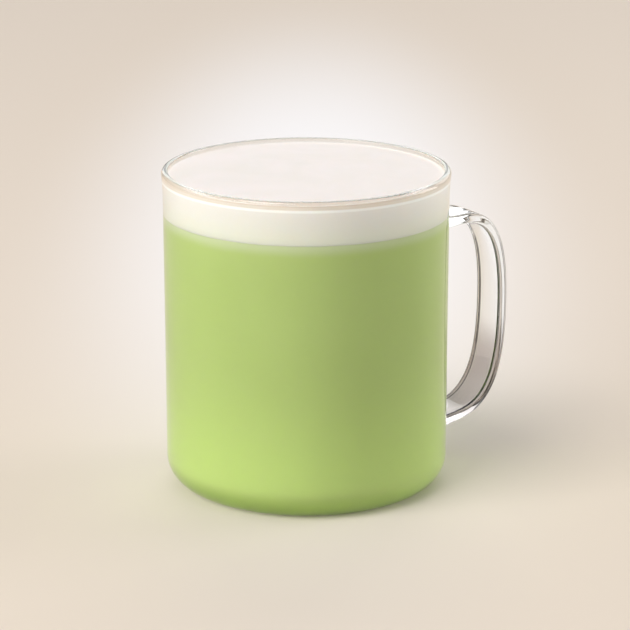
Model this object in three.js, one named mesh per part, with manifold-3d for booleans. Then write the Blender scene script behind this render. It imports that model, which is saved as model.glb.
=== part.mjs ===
// Matcha latte in a clear glass mug. The mug is straight-sided, with a rounded lower edge, a lip that
// flares very slightly and a flat strap handle fused to it. Green latte fills it, and white milk foam
// lies on the latte up to the rounding of the lip. Millimetres, +Z up, origin at the centre of the
// base, handle towards +X.

import * as THREE from "three";
import { mergeVertices } from "three/addons/utils/BufferGeometryUtils.js";
import Module from "manifold-3d";

// Mug body
const mugHeight = 90.6;
const topRadius = 40; // outside, of the straight wall carried up to the rim
const baseRadius = 39.8; // outside, where the lower edge starts to turn in
const lipFlare = 0.5; // how far the lip curves out of the straight wall's line
const lipHeight = 9; // height over which it does so
const rimShoulder = 1.3; // rounding of the rim's outer edge, so that its crest is near the inside
const rimInnerRound = 0.4;
const lowerEdgeRound = 8;
const wall = 1.8;
const baseThickness = 2.4;
const innerEdgeRound = lowerEdgeRound - wall;

// Strap handle
const strapWidth = 12.4;
const strapThickness = 3;
const strapEdgeRound = 1.1;
const upperArmZ = 70.4; // middle of the strap's thickness, where it leaves the wall
const upperArmRise = 0.6; // from the wall to the start of the upper bend
const lowerArmZ = 9.6; // the same, where it leaves the wall
const lowerArmRise = 2.2; // from the wall to the start of the lower bend
const armLength = 8; // stretch of each arm before its bend
const gripReach = 62.6; // from the mug's axis to the middle of the grip
const gripZ = 46; // height at which the grip reaches furthest out
const rootDepth = 1.1; // each end of the strap stops inside the wall, clear of the hollow
const rootFlare = 1.2; // added to each side of the strap where it meets the wall
const rootFlareLength = 2.5;

// Contents
const foamLevel = 89.1; // where the foam meets the glass
const latteLevel = 78.2;
const foamDome = 0.5; // the middle of the foam stands this much above its edge
const gap = 0.3; // between pieces that touch

// Fineness of the faces
const turns = 72; // faces around the mug
const edgeSteps = 6; // faces along a rounded edge
const lipSteps = 4; // faces up the flared lip
const rimSteps = 4; // faces along the rounding of the rim
const strapSteps = 44; // faces along the strap
const domeSteps = 6; // faces from the edge of the foam to its middle

const wasm = await Module();
wasm.setup();

// Points of an arc about a centre, in the plane of a profile, both ends included.
function arc(centreX, centreY, radiusX, radiusY, from, to, steps) {
  const points = [];
  for (let i = 0; i <= steps; i += 1) {
    const angle = from + ((to - from) * i) / steps;
    const x = centreX + radiusX * Math.cos(angle);
    points.push(new THREE.Vector2(x, centreY + radiusY * Math.sin(angle)));
  }
  return points;
}

// Turns a profile of radius and height about the Z axis.
function turned(profile) {
  return new THREE.LatheGeometry(profile, turns).rotateX(Math.PI / 2);
}

// The geometry as a solid that can be joined and cut.
function toSolid(geometry) {
  const bare = geometry.clone();
  bare.deleteAttribute("normal");
  bare.deleteAttribute("uv");
  const merged = mergeVertices(bare, 1e-4);
  const index = merged.index.array;
  const kept = [];
  for (let i = 0; i < index.length; i += 3) {
    const [a, b, c] = index.slice(i, i + 3);
    if (a !== b && b !== c && c !== a) kept.push(a, b, c);
  }
  const vertProperties = new Float32Array(merged.attributes.position.array);
  const triVerts = new Uint32Array(kept);
  return new wasm.Manifold(new wasm.Mesh({ numProp: 3, vertProperties, triVerts }));
}

function toGeometry(solid) {
  const mesh = solid.getMesh();
  const geometry = new THREE.BufferGeometry();
  geometry.setAttribute("position", new THREE.BufferAttribute(mesh.vertProperties, 3));
  geometry.setIndex(new THREE.BufferAttribute(mesh.triVerts, 1));
  geometry.computeVertexNormals();
  return geometry;
}

// Outer radius of the wall at a height: straight, then curving out to the lip.
function wallRadius(z) {
  const along = (z - lowerEdgeRound) / (mugHeight - lowerEdgeRound);
  const intoLip = Math.max(0, (z - mugHeight) / lipHeight + 1);
  return baseRadius + (topRadius - baseRadius) * along + lipFlare * intoLip ** 2;
}

// Points up the wall between two heights, moved in from its outside.
function wallPoints(from, to, moveIn) {
  const heights = [from];
  for (let i = 0; i < lipSteps; i += 1) {
    const z = mugHeight - lipHeight + (lipHeight * i) / lipSteps;
    if (z > from && z < to) heights.push(z);
  }
  return [...heights, to].map((z) => new THREE.Vector2(wallRadius(z) - moveIn, z));
}

// Profile of the space inside the glass, shrunk by a clearance, from the axis up to a level.
function insideProfile(clearance, level) {
  const round = innerEdgeRound;
  const floorZ = baseThickness + clearance;
  const cornerZ = floorZ + round;
  const side = wallPoints(cornerZ, level, wall + clearance);
  const corner = arc(side[0].x - round, cornerZ, round, round, -Math.PI / 2, 0, edgeSteps);
  return [new THREE.Vector2(0, floorZ), ...corner, ...side.slice(1)];
}

// Glass body

function bodyGeometry() {
  const shoulderZ = mugHeight - rimShoulder;
  const innerZ = mugHeight - rimInnerRound;
  const round = lowerEdgeRound;
  const lowerEdge = arc(baseRadius - round, round, round, round, -Math.PI / 2, 0, edgeSteps);
  const outside = wallPoints(round, shoulderZ, 0).slice(1, -1);
  const shoulderX = wallRadius(shoulderZ) - rimShoulder;
  const shoulder = arc(shoulderX, shoulderZ, rimShoulder, rimShoulder, 0, Math.PI / 2, rimSteps);
  const innerX = wallRadius(innerZ) - wall + rimInnerRound;
  const inner = arc(innerX, innerZ, rimInnerRound, rimInnerRound, Math.PI / 2, Math.PI, rimSteps - 1);
  const inside = insideProfile(0, innerZ).slice(0, -1).reverse();
  return turned([new THREE.Vector2(0, 0), ...lowerEdge, ...outside, ...shoulder, ...inner, ...inside]);
}

// Middle line of the strap seen from the side: out of the wall, round the upper bend into a grip that
// bows outwards, then round a longer lower bend and back into the wall.
function strapLine() {
  const rootX = topRadius - rootDepth;
  const bendX = topRadius + armLength;
  const upperBendZ = upperArmZ + 1.9;
  const lowerBendZ = lowerArmZ + 5.2;
  const line = new THREE.Path();
  line.moveTo(rootX, upperArmZ);
  line.lineTo(bendX, upperArmZ + upperArmRise);
  line.bezierCurveTo(gripReach - 3, upperBendZ, gripReach, upperBendZ - 11, gripReach, gripZ);
  line.bezierCurveTo(gripReach, gripZ - 18, gripReach - 2.5, lowerBendZ, bendX, lowerArmZ + lowerArmRise);
  line.lineTo(rootX, lowerArmZ);
  return line;
}

// Strap as the closed outline of its side, given its width, with all its edges rounded.
function strapGeometry() {
  const line = strapLine();
  const outer = [];
  const inner = [];
  for (let i = 0; i <= strapSteps; i += 1) {
    const at = i / strapSteps;
    const point = line.getPointAt(at);
    const tangent = line.getTangentAt(at);
    const fromWall = Math.max(0, point.x - topRadius);
    const half = strapThickness / 2 + rootFlare * Math.exp(-fromWall / rootFlareLength);
    const normal = new THREE.Vector2(-tangent.y, tangent.x);
    outer.push(point.clone().addScaledVector(normal, half));
    inner.push(point.clone().addScaledVector(normal, -half));
  }
  const outline = new THREE.Shape([...outer, ...inner.reverse()]);
  const geometry = new THREE.ExtrudeGeometry(outline, {
    depth: strapWidth - 2 * strapEdgeRound,
    bevelThickness: strapEdgeRound,
    bevelSize: strapEdgeRound,
    bevelOffset: -strapEdgeRound,
    bevelSegments: 3,
  });
  geometry.rotateX(Math.PI / 2);
  return geometry.translate(0, strapWidth / 2 - strapEdgeRound, 0);
}

function mugGeometry() {
  return toGeometry(toSolid(bodyGeometry()).add(toSolid(strapGeometry())));
}

// Contents

function latteGeometry() {
  return turned([...insideProfile(gap, latteLevel), new THREE.Vector2(0, latteLevel)]);
}

// The foam's top is a low dome, steepest where it meets the glass.
function foamGeometry() {
  const bottom = latteLevel + gap;
  const side = wallPoints(bottom, foamLevel, wall + gap);
  const dome = arc(0, foamLevel, side.at(-1).x, foamDome, 0, Math.PI / 2, domeSteps);
  return turned([new THREE.Vector2(0, bottom), ...side.slice(0, -1), ...dome]);
}

// Colours and finish

const clearGlass = new THREE.MeshStandardMaterial({
  color: "#eef1ee",
  roughness: 0.03,
  metalness: 0,
  transparent: true,
  opacity: 0.3,
});
const matchaGreen = new THREE.MeshStandardMaterial({ color: "#adc078", roughness: 0.35, metalness: 0 });
const milkWhite = new THREE.MeshStandardMaterial({ color: "#f5f0e9", roughness: 0.7, metalness: 0 });

function piece(name, geometry, material) {
  const mesh = new THREE.Mesh(geometry, material);
  mesh.name = name;
  return mesh;
}

const matchaLatte = new THREE.Group();
matchaLatte.add(piece("mug", mugGeometry(), clearGlass));
matchaLatte.add(piece("latte", latteGeometry(), matchaGreen));
matchaLatte.add(piece("milk_foam", foamGeometry(), milkWhite));

export default matchaLatte;
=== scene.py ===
# Matcha latte in a clear glass mug: its looks, the camera and the light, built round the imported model.
import math

import bmesh
import bpy
from mathutils import Matrix, Vector, noise
from mathutils.geometry import interpolate_bezier


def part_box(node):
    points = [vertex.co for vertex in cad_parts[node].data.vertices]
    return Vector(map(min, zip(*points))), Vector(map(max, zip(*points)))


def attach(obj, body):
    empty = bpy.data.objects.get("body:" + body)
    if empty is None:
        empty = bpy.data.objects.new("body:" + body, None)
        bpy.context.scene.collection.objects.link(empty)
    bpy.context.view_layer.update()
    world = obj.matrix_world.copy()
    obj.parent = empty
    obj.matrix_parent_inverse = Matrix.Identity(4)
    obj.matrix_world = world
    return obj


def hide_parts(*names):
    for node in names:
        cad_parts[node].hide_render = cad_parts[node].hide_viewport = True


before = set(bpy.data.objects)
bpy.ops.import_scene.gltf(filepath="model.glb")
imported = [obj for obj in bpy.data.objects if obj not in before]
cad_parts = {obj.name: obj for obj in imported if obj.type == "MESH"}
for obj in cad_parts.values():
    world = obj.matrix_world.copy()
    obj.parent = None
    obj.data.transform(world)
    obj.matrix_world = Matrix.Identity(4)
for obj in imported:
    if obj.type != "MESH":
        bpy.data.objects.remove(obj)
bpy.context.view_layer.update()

mm = 0.001
scene = bpy.context.scene

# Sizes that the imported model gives
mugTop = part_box("mug")[1].z
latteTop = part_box("latte")[1].z
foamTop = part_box("milk_foam")[1].z


# Helpers shared by the pieces

def toLinear(hexColour):
    channels = [int(hexColour[i:i + 2], 16) / 255 for i in (1, 3, 5)]
    linear = [c / 12.92 if c <= 0.04045 else ((c + 0.055) / 1.055) ** 2.4 for c in channels]
    return (*linear, 1.0)


def addNode(tree, kind, settings, **links):
    # settings fill the node's own fields or its sockets, links join other nodes' sockets to its own
    node = tree.nodes.new(kind)
    for field, value in settings.items():
        if hasattr(node, field):
            setattr(node, field, value)
        else:
            node.inputs[int(field[1:]) if field[0] == "_" else field].default_value = value
    for socket, source in links.items():
        key = int(socket[1:]) if socket[0] == "_" else socket.replace("_", " ")
        tree.links.new(source, node.inputs[key])
    return node


def newMaterial(name):
    material = bpy.data.materials.new(name)
    material.use_nodes = True
    material.node_tree.nodes.clear()
    return material, material.node_tree


def spinProfile(points, steps):
    # points are radius and height; the chain of edges between them is spun about the mug's axis
    bm = bmesh.new()
    verts = [bm.verts.new((radius, 0, height)) for radius, height in points]
    edges = [bm.edges.new(pair) for pair in zip(verts, verts[1:])]
    bmesh.ops.spin(
        bm, geom=verts + edges, cent=(0, 0, 0), axis=(0, 0, 1),
        angle=2 * math.pi, steps=steps, use_merge=True,
    )
    bmesh.ops.remove_doubles(bm, verts=bm.verts[:], dist=0.001 * mm)
    bmesh.ops.recalc_face_normals(bm, faces=bm.faces[:])
    return bm


def ringAt(bm, radius, height):
    # the loop of edges that lies at this radius and height
    near = 0.02 * mm
    found = []
    for edge in bm.edges:
        ends = [abs(v.co.xy.length - radius) < near and abs(v.co.z - height) < near for v in edge.verts]
        if all(ends):
            found.append(edge)
    return found


def roundRing(bm, radius, height, offset, segments):
    bmesh.ops.bevel(
        bm, geom=ringAt(bm, radius, height), offset=offset, offset_type="OFFSET",
        segments=segments, profile=0.5, affect="EDGES", material=-1,
    )


def addRings(bm, heights):
    # cuts level rings into the walls, so that the shading of a rounded edge stays beside it
    for height in heights:
        bmesh.ops.bisect_plane(
            bm, geom=bm.verts[:] + bm.edges[:] + bm.faces[:],
            plane_co=(0, 0, height), plane_no=(0, 0, 1), dist=0.001 * mm,
        )


def toObject(bm, name):
    mesh = bpy.data.meshes.new(name)
    bm.to_mesh(mesh)
    bm.free()
    mesh.shade_smooth()
    mesh.set_sharp_from_angle(angle=math.radians(40))
    piece = bpy.data.objects.new(name, mesh)
    scene.collection.objects.link(piece)
    return piece


def finishPiece(piece, material, node):
    piece.data.materials.clear()
    piece.data.materials.append(material)
    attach(piece, "root")
    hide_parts(node)


# Glass mug

mug = {
    "wall": 1.8 * mm,
    "baseThickness": 2.4 * mm,
    "baseRadius": 39.8 * mm,  # outside, where the lower edge starts to turn in
    "topRadius": 40 * mm,  # outside, of the straight wall carried up to the rim
    "lipFlare": 0.5 * mm,  # how far the lip curves out of the straight wall's line
    "lipHeight": 9 * mm,
    "lowerEdge": 8 * mm,
    "crestDepth": 0.3 * mm,  # painted shade: the crest of the rim is painted faintly blue-grey down to this
    "foamReflectionDepth": (1.5 * mm, 1.3 * mm),  # and above the foam the clear glass is painted cream, a painted reflection of the foam
    "rimShoulder": 1.3 * mm,  # rounding of the rim's outer edge, so that its crest is near the inside
    "rimInner": 0.4 * mm,
    "steps": 192,
    "roundSteps": {"lowerEdge": 14, "innerEdge": 12, "shoulder": 8, "rimInner": 5},
    "ringGap": 2.5 * mm,  # between the level rings up the wall
    "ringMargin": {"edge": 0.6 * mm, "rim": 1.4 * mm},  # from the rounded edges to the nearest ring
    "glassColour": "#FCFDFC",
    "foamReflectionColour": "#EDE6DD",
    "crestShadeColour": "#A9B2B0",
    "swellSize": 26 * mm,  # unevenness of blown glass
}

strap = {
    "width": 12.4 * mm,
    "thickness": 3 * mm,
    "edgeRound": 1.1 * mm,
    "root": 38.9 * mm,  # each end stops inside the wall
    "bend": 48 * mm,
    "upperArm": (70.4 * mm, 71 * mm),  # heights at the wall and at the bend
    "lowerArm": (10.1 * mm, 12.1 * mm),
    "upperPull": ((59.6 * mm, 72.3 * mm), (62.6 * mm, 61.3 * mm)),  # handles of the upper bend
    "lowerPull": ((62.6 * mm, 28 * mm), (60.1 * mm, 14.8 * mm)),
    "grip": (62.6 * mm, 46 * mm),
    "flare": {"upper": 1.2 * mm, "lower": 0.6 * mm},  # added to each side where an arm meets the wall
    "flareLength": 2.5 * mm,
    # painted shade: dark lines painted along the edges, in degrees round each one: 0 where the broad face
    # ends, 90 where the side begins; the inner edges have the first, and the outer ones all, fading out at
    # the bends
    "darkLine": (14, 30),
    "darkOutside": [(32, 60), (80, 91)],
    "linesBelow": (62 * mm, 68 * mm),
    "linesAbove": (20 * mm, 30 * mm),
    "paintedShadeBelow": (28 * mm, 40 * mm),  # painted shade: the lower half of the strap is painted greyer
    "paintedShadeFrom": (40.6 * mm, 41.6 * mm),  # both only on the strap, clear of the wall and the lip
    "lineColour": "#141413",
    "paintedShadeColour": "#C8C3C1",
    "armSteps": 12,
    "bendSteps": 40,
    "edgeSteps": 6,
}


def wallRadius(z):
    # outside of the straight wall
    along = (z - mug["lowerEdge"]) / (mugTop - mug["lowerEdge"])
    return mug["baseRadius"] + (mug["topRadius"] - mug["baseRadius"]) * along


def flareLip(bm):
    # curves the top of a straight wall outwards, and what fills it with it
    for vert in bm.verts:
        intoLip = max(0.0, (vert.co.z - mugTop) / mug["lipHeight"] + 1)
        out = vert.co.xy.length / wallRadius(vert.co.z)
        vert.co.xy += vert.co.xy.normalized() * mug["lipFlare"] * intoLip ** 2 * out ** 8


def mugBody():
    wallTop = mug["topRadius"]
    outerEdge = (mug["baseRadius"], 0)
    innerTop = (wallTop - mug["wall"], mugTop)
    innerEdge = (mug["baseRadius"] - mug["wall"], mug["baseThickness"])
    profile = [(0, 0), outerEdge, (wallTop, mugTop), innerTop, innerEdge, (0, mug["baseThickness"])]
    bm = spinProfile(profile, mug["steps"])
    steps = mug["roundSteps"]
    roundRing(bm, *outerEdge, mug["lowerEdge"], steps["lowerEdge"])
    roundRing(bm, *innerEdge, mug["lowerEdge"] - mug["wall"], steps["innerEdge"])
    roundRing(bm, wallTop, mugTop, mug["rimShoulder"], steps["shoulder"])
    roundRing(bm, *innerTop, mug["rimInner"], steps["rimInner"])
    low = mug["lowerEdge"] + mug["baseThickness"]
    count = int((mugTop - low) / mug["ringGap"])
    rise = mugTop - mug["ringMargin"]["rim"] - low
    heights = [low + i * rise / count for i in range(count + 1)]
    addRings(bm, [mug["ringMargin"]["edge"] + mug["lowerEdge"], *heights])
    flareLip(bm)
    return toObject(bm, "mug_glass")


def strapPath():
    corner = {
        "upperRoot": (strap["root"], strap["upperArm"][0]),
        "upperBend": (strap["bend"], strap["upperArm"][1]),
        "lowerBend": (strap["bend"], strap["lowerArm"][1]),
        "lowerRoot": (strap["root"], strap["lowerArm"][0]),
    }
    at = {name: Vector((x, 0, z)) for name, (x, z) in corner.items()}
    grip, upperA, upperB, lowerA, lowerB = [
        Vector((x, 0, z)) for x, z in (strap["grip"], *strap["upperPull"], *strap["lowerPull"])
    ]
    bend = strap["bendSteps"]
    arm = strap["armSteps"]
    path = [at["upperRoot"].lerp(at["upperBend"], i / arm) for i in range(arm)]
    path += interpolate_bezier(at["upperBend"], upperA, upperB, grip, bend)[:-1]
    path += interpolate_bezier(grip, lowerA, lowerB, at["lowerBend"], bend)[:-1]
    path += [at["lowerBend"].lerp(at["lowerRoot"], i / arm) for i in range(arm + 1)]
    return path


def strapSection(path, i):
    # the four corners of the strap where the path has reached its point i
    along = (path[min(i + 1, len(path) - 1)] - path[max(i - 1, 0)]).normalized()
    outward = Vector((-along.z, 0, along.x))
    fromWall = max(0.0, path[i].x - mug["topRadius"])
    flare = strap["flare"]["upper" if path[i].z > strap["grip"][1] else "lower"]
    half = strap["thickness"] / 2 + flare * math.exp(-fromWall / strap["flareLength"])
    side = Vector((0, strap["width"] / 2, 0))
    return [path[i] + a * outward * half + b * side for a, b in ((-1, -1), (1, -1), (1, 1), (-1, 1))]


def markAcross(mesh):
    # keeps each point's distance from the middle of the strap's thickness, for the painted dark lines along
    # its edges
    path = strapPath()
    bm = bmesh.new()
    bm.from_mesh(mesh)
    across = bm.verts.layers.float.new("acrossStrap")
    for vert in (v for v in bm.verts if v.co.x > strap["root"]):
        i = min(range(len(path)), key=lambda k: (vert.co.xz - path[k].xz).length_squared)
        along = (path[min(i + 1, len(path) - 1)] - path[max(i - 1, 0)]).normalized()
        vert[across] = (vert.co - path[i]).dot(Vector((-along.z, 0, along.x)))
    bm.to_mesh(mesh)
    bm.free()


def mugStrap():
    path = strapPath()
    bm = bmesh.new()
    face = bm.faces.new([bm.verts.new(co) for co in strapSection(path, 0)])
    longEdges = []
    for i in range(1, len(path)):
        before = list(face.verts)
        made = bmesh.ops.extrude_face_region(bm, geom=[face])["geom"]
        if i > 1:
            bmesh.ops.delete(bm, geom=[face], context="FACES_ONLY")
        face = next(g for g in made if isinstance(g, bmesh.types.BMFace))
        targets = strapSection(path, i)
        starts = strapSection(path, i - 1)
        for vert in face.verts:
            nearest = min(range(4), key=lambda k: (vert.co - starts[k]).length)
            vert.co = targets[nearest]
        for vert in before:
            longEdges += [e for e in vert.link_edges if e.other_vert(vert) in face.verts]
    bmesh.ops.recalc_face_normals(bm, faces=bm.faces[:])
    bmesh.ops.bevel(
        bm, geom=list(set(longEdges)), offset=strap["edgeRound"], offset_type="OFFSET",
        segments=strap["edgeSteps"], profile=0.5, affect="EDGES", material=-1,
    )
    return toObject(bm, "mug_strap")


def glassMug():
    body = mugBody()
    handle = mugStrap()
    fuse = body.modifiers.new("fuse", "BOOLEAN")
    fuse.operation = "UNION"
    fuse.solver = "EXACT"
    fuse.object = handle
    graph = bpy.context.evaluated_depsgraph_get()
    fused = bpy.data.meshes.new_from_object(body.evaluated_get(graph))
    body.modifiers.clear()
    body.data = fused
    bpy.data.objects.remove(handle)
    markAcross(fused)
    fused.shade_smooth()
    fused.set_sharp_from_angle(angle=math.radians(40))
    return body


def within(tree, angle, span):
    # 1 where the angle lies in the span, which is in degrees
    low, high = [math.radians(limit) for limit in span]
    return addNode(tree, "ShaderNodeMath", {
        "operation": "COMPARE", "_1": (low + high) / 2, "_2": (high - low) / 2,
    }, _0=angle.outputs[0]).outputs[0]


def paintedGlassShading(tree, place):
    # painted shade: dark lines painted along the strap's edges and a greyer lower strap; painted shade on
    # the rim's crest,
    # and the glass under the rim painted cream, a painted reflection of the foam
    spot = addNode(tree, "ShaderNodeSeparateXYZ", {}, Vector=place.outputs["Object"])
    across = addNode(tree, "ShaderNodeAttribute", {"attribute_name": "acrossStrap"})
    overEdge = []
    for side, size in ((spot.outputs[1], strap["width"]), (across.outputs["Fac"], strap["thickness"])):
        out = addNode(tree, "ShaderNodeMath", {"operation": "ABSOLUTE"}, _0=side)
        overEdge.append(addNode(tree, "ShaderNodeMath", {
            "operation": "SUBTRACT", "_1": size / 2 - strap["edgeRound"],
        }, _0=out.outputs[0]))
    angle = addNode(tree, "ShaderNodeMath", {
        "operation": "ARCTAN2",
    }, _0=overEdge[0].outputs[0], _1=overEdge[1].outputs[0])
    belowBend = addNode(tree, "ShaderNodeMapRange", {
        "From Min": strap["linesBelow"][1], "From Max": strap["linesBelow"][0],
    }, Value=spot.outputs[2])
    aboveBend = addNode(tree, "ShaderNodeMapRange", {
        "From Min": strap["linesAbove"][0], "From Max": strap["linesAbove"][1],
    }, Value=spot.outputs[2])
    inside = addNode(tree, "ShaderNodeMath", {
        "operation": "LESS_THAN", "_1": 0.0,
    }, _0=across.outputs["Fac"])
    hasFirst = addNode(tree, "ShaderNodeMath", {
        "operation": "MAXIMUM",
    }, _0=inside.outputs[0], _1=belowBend.outputs[0])
    outside = addNode(tree, "ShaderNodeMath", {
        "operation": "SUBTRACT",
    }, _0=belowBend.outputs[0], _1=inside.outputs[0])
    hasSecond = addNode(tree, "ShaderNodeMath", {
        "operation": "MULTIPLY",
    }, _0=outside.outputs[0], _1=aboveBend.outputs[0])
    first = addNode(tree, "ShaderNodeMath", {
        "operation": "MULTIPLY",
    }, _0=within(tree, angle, strap["darkLine"]), _1=hasFirst.outputs[0])
    atEdge, atSide = [within(tree, angle, span) for span in strap["darkOutside"]]
    either = addNode(tree, "ShaderNodeMath", {"operation": "ADD"}, _0=atEdge, _1=atSide)
    second = addNode(tree, "ShaderNodeMath", {
        "operation": "MULTIPLY",
    }, _0=either.outputs[0], _1=hasSecond.outputs[0])
    lines = addNode(tree, "ShaderNodeMath", {
        "operation": "MAXIMUM",
    }, _0=first.outputs[0], _1=second.outputs[0])
    onStrap = addNode(tree, "ShaderNodeMapRange", {
        "From Min": strap["paintedShadeFrom"][0], "From Max": strap["paintedShadeFrom"][1],
    }, Value=spot.outputs[0])
    shown = addNode(tree, "ShaderNodeMath", {
        "operation": "MULTIPLY",
    }, _0=lines.outputs[0], _1=onStrap.outputs[0])

    low = addNode(tree, "ShaderNodeMapRange", {
        "interpolation_type": "SMOOTHSTEP",
        "From Min": strap["paintedShadeBelow"][1], "From Max": strap["paintedShadeBelow"][0],
    }, Value=spot.outputs[2])
    lowStrap = addNode(tree, "ShaderNodeMath", {
        "operation": "MULTIPLY",
    }, _0=low.outputs[0], _1=onStrap.outputs[0])
    aboveFoam = addNode(tree, "ShaderNodeMapRange", {
        "From Min": mugTop - mug["foamReflectionDepth"][0], "From Max": mugTop - mug["foamReflectionDepth"][1],
    }, Value=spot.outputs[2])
    crest = addNode(tree, "ShaderNodeMapRange", {
        "From Min": mugTop - mug["crestDepth"], "From Max": mugTop - mug["crestDepth"] / 3,
    }, Value=spot.outputs[2])

    glass = addNode(tree, "ShaderNodeMix", {
        "data_type": "RGBA", "_6": toLinear(mug["glassColour"]), "_7": toLinear(strap["paintedShadeColour"]),
    }, _0=lowStrap.outputs[0])
    for where, colour in (
        (aboveFoam, mug["foamReflectionColour"]), (crest, mug["crestShadeColour"]), (shown, strap["lineColour"]),
    ):
        glass = addNode(tree, "ShaderNodeMix", {
            "data_type": "RGBA", "_7": toLinear(colour),
        }, _0=where.outputs[0], _6=glass.outputs[2])
    return glass.outputs[2]


def borosilicateGlass():
    # heat-resistant drinking glass, blown and fire-polished: clear, sharp reflections, faintly uneven
    material, tree = newMaterial("borosilicateGlass")
    place = addNode(tree, "ShaderNodeTexCoord", {})
    swell = addNode(tree, "ShaderNodeTexNoise", {
        "Scale": 1 / mug["swellSize"], "Detail": 1.0,
    }, Vector=place.outputs["Object"])
    bump = addNode(tree, "ShaderNodeBump", {
        "Strength": 0.12, "Distance": 0.05 * mm,
    }, Height=swell.outputs[0])
    glass = addNode(tree, "ShaderNodeBsdfPrincipled", {
        "Roughness": 0.0,
        "IOR": 1.473,
        "Transmission Weight": 1.0,
    }, Base_Color=paintedGlassShading(tree, place), Normal=bump.outputs[0])
    addNode(tree, "ShaderNodeOutputMaterial", {}, Surface=glass.outputs[0])
    return material


# Latte

latte = {
    "intoWall": 0.12 * mm,  # reaches into the glass, so that no air gap shows
    "steps": 160,
    "roundSteps": 12,
    "sideRings": 24,
    "cloudSize": 30 * mm,
    "bodyColours": ("#B3C778", "#B9CD81"),
    "pale": (-3.5 * mm, 1 * mm),  # from the foam's underside: milk makes the top of the latte paler
    "paleWander": 1.2 * mm,
    "paleColour": "#CBD6AA",
    "paintedLightBelow": (2 * mm, 45 * mm),  # painted light: the drink is painted lighter towards the base
    "paintedLightBelowColour": "#C6DD84",
    "rounding": (1 * mm, 7 * mm),  # painted light: in the rounding of the glass it is painted a brighter, stronger green
    "roundingColour": "#B2DA5E",
}


def lattePiece():
    low = mug["baseThickness"] - latte["intoWall"]
    edgeRound = mug["lowerEdge"] - mug["wall"] + latte["intoWall"]
    sideLow = mug["baseRadius"] - mug["wall"] + latte["intoWall"]
    sideTop = wallRadius(latteTop) - mug["wall"] + latte["intoWall"]
    bm = spinProfile([(0, low), (sideLow, low), (sideTop, latteTop), (0, latteTop)], latte["steps"])
    roundRing(bm, sideLow, low, edgeRound, latte["roundSteps"])
    straight = low + edgeRound + 1 * mm
    rise = (latteTop - straight) / latte["sideRings"]
    addRings(bm, [straight + i * rise for i in range(latte["sideRings"])])
    return toObject(bm, "matcha_latte")


def milkyMatcha():
    # whisked green tea in steamed milk: opaque and a little cloudy, with light soaking into it
    material, tree = newMaterial("milkyMatcha")
    place = addNode(tree, "ShaderNodeTexCoord", {})
    cloud = addNode(tree, "ShaderNodeTexNoise", {
        "Scale": 1 / latte["cloudSize"], "Detail": 2.0,
    }, Vector=place.outputs["Object"])
    body = addNode(tree, "ShaderNodeMix", {
        "data_type": "RGBA",
        "_6": toLinear(latte["bodyColours"][0]), "_7": toLinear(latte["bodyColours"][1]),
    }, _0=cloud.outputs[0])
    height = addNode(tree, "ShaderNodeSeparateXYZ", {}, Vector=place.outputs["Object"])
    low = addNode(tree, "ShaderNodeMapRange", {
        "interpolation_type": "SMOOTHSTEP",
        "From Min": latte["paintedLightBelow"][1], "From Max": latte["paintedLightBelow"][0],
    }, Value=height.outputs[2])
    bottom = addNode(tree, "ShaderNodeMapRange", {
        "From Min": latte["rounding"][1], "From Max": latte["rounding"][0],
    }, Value=height.outputs[2])
    wander = addNode(tree, "ShaderNodeMath", {
        "operation": "MULTIPLY_ADD", "_1": latte["paleWander"],
    }, _0=cloud.outputs[0], _2=height.outputs[2])
    top = addNode(tree, "ShaderNodeMapRange", {
        "interpolation_type": "SMOOTHERSTEP",
        "From Min": latteTop + latte["pale"][0], "From Max": latteTop + latte["pale"][1],
    }, Value=wander.outputs[0])
    colour = body
    for where, shade in (
        (low, latte["paintedLightBelowColour"]), (bottom, latte["roundingColour"]), (top, latte["paleColour"]),
    ):
        colour = addNode(tree, "ShaderNodeMix", {
            "data_type": "RGBA", "_7": toLinear(shade),
        }, _0=where.outputs[0], _6=colour.outputs[2])
    drink = addNode(tree, "ShaderNodeBsdfPrincipled", {
        "Roughness": 0.4,
        "IOR": 1.345,
        "Specular IOR Level": 0.1,
        "Subsurface Weight": 0.3,
        "Subsurface Radius": (0.9, 1.0, 0.5),
        "Subsurface Scale": 1.5 * mm,
    }, Base_Color=colour.outputs[2])
    addNode(tree, "ShaderNodeOutputMaterial", {}, Surface=drink.outputs[0])
    return material


# Milk foam

foam = {
    "dome": 0.5 * mm,
    "lip": 0.12 * mm,  # climbs the glass
    "lipWidth": 0.8 * mm,
    "sideRings": 8,
    "swell": 0.12 * mm,  # unevenness of the top, in two sizes
    "swellSizes": (11 * mm, 4 * mm),
    "steps": 160,
    "rings": 56,
    "bubble": 0.7 * mm,
    "swirl": 22 * mm,
    "topColours": ("#E4DDD3", "#F0E6E2"),
    # against the glass, from the latte up: stained by the tea, milk white, then a painted highlight in a
    # bright line and painted shade of the rim in a duller band above it
    "sideColours": [
        (0, "#E4E4D4"), (2, "#E9E8DC"), (5, "#EBE9E1"), (9, "#EEEBE5"),
        (9.35, "#FFFFFB"), (9.75, "#FFFFFB"), (10.1, "#E4DBD0"), (10.8, "#E4DBD0"),
    ],
}


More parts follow.
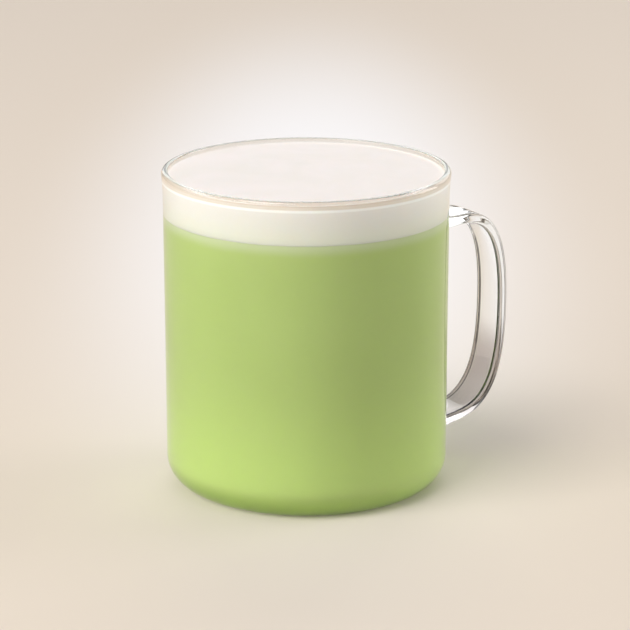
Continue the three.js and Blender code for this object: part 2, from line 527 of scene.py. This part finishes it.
def foamPiece():
    low = latteTop
    edge = foamTop - foam["dome"]
    side = [wallRadius(z) - mug["wall"] + latte["intoWall"] for z in (low, edge)]
    bm = spinProfile([(0, low), (side[0], low), (side[1], edge), (0, edge)], foam["steps"])
    justUnder = edge - 0.01 * mm
    spokes = set()
    for face in bm.faces:
        if face.calc_center_median().z > justUnder:
            spokes.update(e for e in face.edges if min(v.co.xy.length for v in e.verts) < side[1] / 2)
    bmesh.ops.subdivide_edges(bm, edges=list(spokes), cuts=foam["rings"], use_grid_fill=True)
    for vert in bm.verts:
        if vert.co.z < justUnder:
            continue
        out = vert.co.xy.length / side[1]
        coarse, fine = [noise.noise(vert.co / size) for size in foam["swellSizes"]]
        wander = coarse + 0.5 * fine
        lip = foam["lip"] * math.exp((out - 1) * side[1] / foam["lipWidth"])
        vert.co.z = edge + foam["dome"] * (1 - out ** 4) + lip + foam["swell"] * wander * (1 - out ** 8)
    addRings(bm, [low + i * (edge - low) / foam["sideRings"] for i in range(1, foam["sideRings"])])
    flareLip(bm)
    return toObject(bm, "milk_foam_top")


def steamedMilkFoam():
    # steamed milk foam: warm white, dense, with bubbles of a few tenths of a millimetre
    material, tree = newMaterial("steamedMilkFoam")
    place = addNode(tree, "ShaderNodeTexCoord", {})
    bubbles = addNode(tree, "ShaderNodeTexVoronoi", {
        "Scale": 1 / foam["bubble"],
    }, Vector=place.outputs["Object"])
    swirl = addNode(tree, "ShaderNodeTexNoise", {
        "Scale": 1 / foam["swirl"], "Detail": 3.0, "Distortion": 1.2,
    }, Vector=place.outputs["Object"])
    top = addNode(tree, "ShaderNodeMix", {
        "data_type": "RGBA",
        "_6": toLinear(foam["topColours"][0]), "_7": toLinear(foam["topColours"][1]),
    }, _0=swirl.outputs[0])
    height = addNode(tree, "ShaderNodeSeparateXYZ", {}, Vector=place.outputs["Object"])
    edge = foamTop - foam["dome"]
    upTheSide = addNode(tree, "ShaderNodeMapRange", {
        "From Min": latteTop, "From Max": edge,
    }, Value=height.outputs[2])
    side = addNode(tree, "ShaderNodeValToRGB", {}, _0=upTheSide.outputs[0])
    stops = side.color_ramp.elements
    stops.remove(stops[1])
    stops[0].color = toLinear(foam["sideColours"][0][1])
    for up, colour in foam["sideColours"][1:]:
        stops.new(up * mm / (edge - latteTop)).color = toLinear(colour)
    onTop = addNode(tree, "ShaderNodeMapRange", {
        "From Min": edge, "From Max": edge + 0.05 * mm,
    }, Value=height.outputs[2])
    colour = addNode(tree, "ShaderNodeMix", {
        "data_type": "RGBA",
    }, _0=onTop.outputs[0], _6=side.outputs[0], _7=top.outputs[2])
    bump = addNode(tree, "ShaderNodeBump", {
        "Strength": 0.15, "Distance": 0.1 * mm,
    }, Height=bubbles.outputs[0])
    milk = addNode(tree, "ShaderNodeBsdfPrincipled", {
        "Roughness": 0.55,
        "IOR": 1.34,
        "Specular IOR Level": 0.12,
        "Subsurface Weight": 0.5,
        "Subsurface Radius": (1.2, 1.0, 0.8),
        "Subsurface Scale": 2 * mm,
    }, Base_Color=colour.outputs[2], Normal=bump.outputs[0])
    addNode(tree, "ShaderNodeOutputMaterial", {}, Surface=milk.outputs[0])
    return material


clearMug = glassMug()
clearMug.visible_shadow = False  # light reaches the drink and the floor through the glass without noise
finishPiece(clearMug, borosilicateGlass(), "mug")
print("glass mug done")
finishPiece(lattePiece(), milkyMatcha(), "latte")
print("latte done")
finishPiece(foamPiece(), steamedMilkFoam(), "milk_foam")
print("milk foam done")


# Camera, at the photograph's angle

camera = {
    "azimuth": -30,  # degrees; at 0 it looks along +Y
    "elevation": 16.14,
    "distance": 800 * mm,
    "lens": 162,  # for a sensor 36 across
    "aim": (2.45 * mm, 0, 48.05 * mm),  # right of the mug's axis, away from the camera, and up
}
turn = Matrix.Rotation(math.radians(camera["azimuth"]), 4, "Z")


def addCamera():
    data = bpy.data.cameras.new("camera")
    data.lens = camera["lens"]
    data.sensor_width = 36
    data.clip_start = 0.01
    eye = bpy.data.objects.new("camera", data)
    tilt = math.radians(camera["elevation"])
    back = turn @ Vector((0, -math.cos(tilt), math.sin(tilt)))
    eye.location = turn @ Vector(camera["aim"]) + back * camera["distance"]
    eye.rotation_euler = back.to_track_quat("Z", "Y").to_euler()
    scene.collection.objects.link(eye)
    scene.camera = eye


# Floor and light; places are right of the mug, away from the camera, and up, in metres

softboxes = {
    "key": {"place": (-0.75, -0.62, 1.55), "size": (0.95, 0.95), "power": 15.5, "colour": "#FFFEFD"},
    "side": {"place": (-1.2, -0.98, 0.55), "size": (1.2, 1.0), "power": 7, "colour": "#FFFEFB"},
    "overhead": {"place": (0.1, 1.9, 1.6), "size": (1.4, 1.4), "power": 11, "colour": "#FFFFFF"},
    "edge": {"place": (1.1, 0.35, 0.3), "size": (0.6, 0.6), "power": 4.8, "colour": "#FFFFFF"},
    "back": {"place": (0.3, 1.3, 0.5), "size": (1.8, 0.6), "power": 5, "colour": "#FFFFFF"},
}
onlyInGlass = ["back"]  # it shows in the glass and in gloss, and lights nothing
studio = {
    "air": "#F8FAFF",
    "wallLight": 0.02,
    "wallTop": (0.1, 0.45),  # sines of the elevation: end of the dark wall, start of the full ceiling
    "ceilingLight": 0.495,
    "backdropLight": 0.9,
    "floorNear": "#FDFAF9",
    "floorFar": "#E3D5C5",
    "glowCentre": (0.002, 0.320),
    "glow": (0.134, 0.566),  # half width and half depth of the pale patch, a painted pool of light, which starts round the mug
    "floorSize": 30,
}


def addSoftbox(name, box):
    data = bpy.data.lights.new(name, "AREA")
    data.shape = "RECTANGLE"
    data.size, data.size_y = box["size"]
    data.energy = box["power"]
    data.color = toLinear(box["colour"])[:3]
    lamp = bpy.data.objects.new(name, data)
    lamp.location = turn @ Vector(box["place"])
    lamp.visible_diffuse = name not in onlyInGlass
    aim = lamp.location - Vector((0, 0, mugTop / 2))
    lamp.rotation_euler = aim.to_track_quat("Z", "Y").to_euler()
    scene.collection.objects.link(lamp)


def paperFloor():
    # seamless studio paper with a painted pool of light, palest round the mug and behind it
    material, tree = newMaterial("studioPaper")
    place = addNode(tree, "ShaderNodeTexCoord", {})
    patch = addNode(tree, "ShaderNodeMapping", {"vector_type": "TEXTURE"}, Vector=place.outputs["Object"])
    patch.inputs["Location"].default_value = turn @ Vector((*studio["glowCentre"], 0))
    patch.inputs["Rotation"].default_value = (0, 0, math.radians(camera["azimuth"]))
    patch.inputs["Scale"].default_value = (*studio["glow"], 1)
    glow = addNode(tree, "ShaderNodeTexGradient", {"gradient_type": "SPHERICAL"}, Vector=patch.outputs[0])
    ease = addNode(tree, "ShaderNodeMapRange", {
        "interpolation_type": "SMOOTHERSTEP",
    }, Value=glow.outputs[0])
    colour = addNode(tree, "ShaderNodeMix", {
        "data_type": "RGBA", "_6": toLinear(studio["floorFar"]), "_7": toLinear(studio["floorNear"]),
    }, _0=ease.outputs[0])
    paper = addNode(tree, "ShaderNodeBsdfPrincipled", {
        "Roughness": 0.9, "Specular IOR Level": 0.1,
    }, Base_Color=colour.outputs[2])
    addNode(tree, "ShaderNodeOutputMaterial", {}, Surface=paper.outputs[0])
    return material


def addFloor():
    bm = bmesh.new()
    bmesh.ops.create_grid(bm, x_segments=1, y_segments=1, size=studio["floorSize"] / 2)
    floor = toObject(bm, "floor")
    floor.data.materials.append(paperFloor())


def addAir():
    # a white ceiling over dark walls, which draw the dark lines along the edges of clear glass
    world = bpy.data.worlds.new("studio")
    world.use_nodes = True
    tree = world.node_tree
    tree.nodes.clear()
    place = addNode(tree, "ShaderNodeTexCoord", {})
    height = addNode(tree, "ShaderNodeSeparateXYZ", {}, Vector=place.outputs["Generated"])
    ceiling = addNode(tree, "ShaderNodeMapRange", {
        "interpolation_type": "SMOOTHSTEP",
        "From Min": studio["wallTop"][0], "From Max": studio["wallTop"][1],
        "To Min": studio["wallLight"], "To Max": studio["ceilingLight"],
    }, Value=height.outputs[2])
    room = addNode(tree, "ShaderNodeBackground", {
        "Color": toLinear(studio["air"]),
    }, Strength=ceiling.outputs[0])
    backdrop = addNode(tree, "ShaderNodeBackground", {
        "Color": toLinear(studio["floorFar"]), "Strength": studio["backdropLight"],
    })
    ray = addNode(tree, "ShaderNodeLightPath", {})
    seen = addNode(
        tree, "ShaderNodeMixShader", {},
        _0=ray.outputs["Is Camera Ray"], _1=room.outputs[0], _2=backdrop.outputs[0],
    )
    addNode(tree, "ShaderNodeOutputWorld", {}, Surface=seen.outputs[0])
    scene.world = world


addCamera()
addFloor()
addAir()
for name, box in softboxes.items():
    addSoftbox(name, box)
scene.view_settings.view_transform = "Standard"
print("camera, floor and light done")
